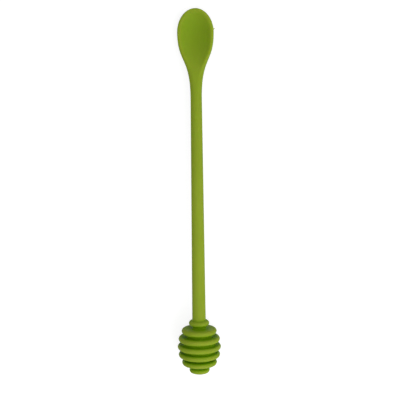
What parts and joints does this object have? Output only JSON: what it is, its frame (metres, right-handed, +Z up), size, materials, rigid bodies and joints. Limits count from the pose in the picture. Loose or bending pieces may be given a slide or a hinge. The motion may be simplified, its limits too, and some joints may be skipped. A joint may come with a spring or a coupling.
{
  "type": "honey dipper",
  "caption": "Slim silicone stirring tool with a round tapered handle, a ringed honey dipper head at one end and a small oval spoon at the other.",
  "frame": {"origin": "on the surface that the tool lies on, under the middle of its bounding box", "axes": "+Y along the tool towards the spoon's tip, +Z up out of the spoon's hollow, +X to the right; the tool's own axis leans about 2 degrees down towards the spoon, because it lies on its widest ring and on the spoon's back"},
  "size_m": [0.024, 0.1998, 0.0237],
  "materials": {
    "silicone": "satin",
    "core_steel": "drawn"
  },
  "bodies": {
    "root": {"dipper_head": "silicone", "handle_sleeve": "silicone", "spoon_bowl": "silicone", "core_rod": "core_steel"}
  },
  "joints": []
}
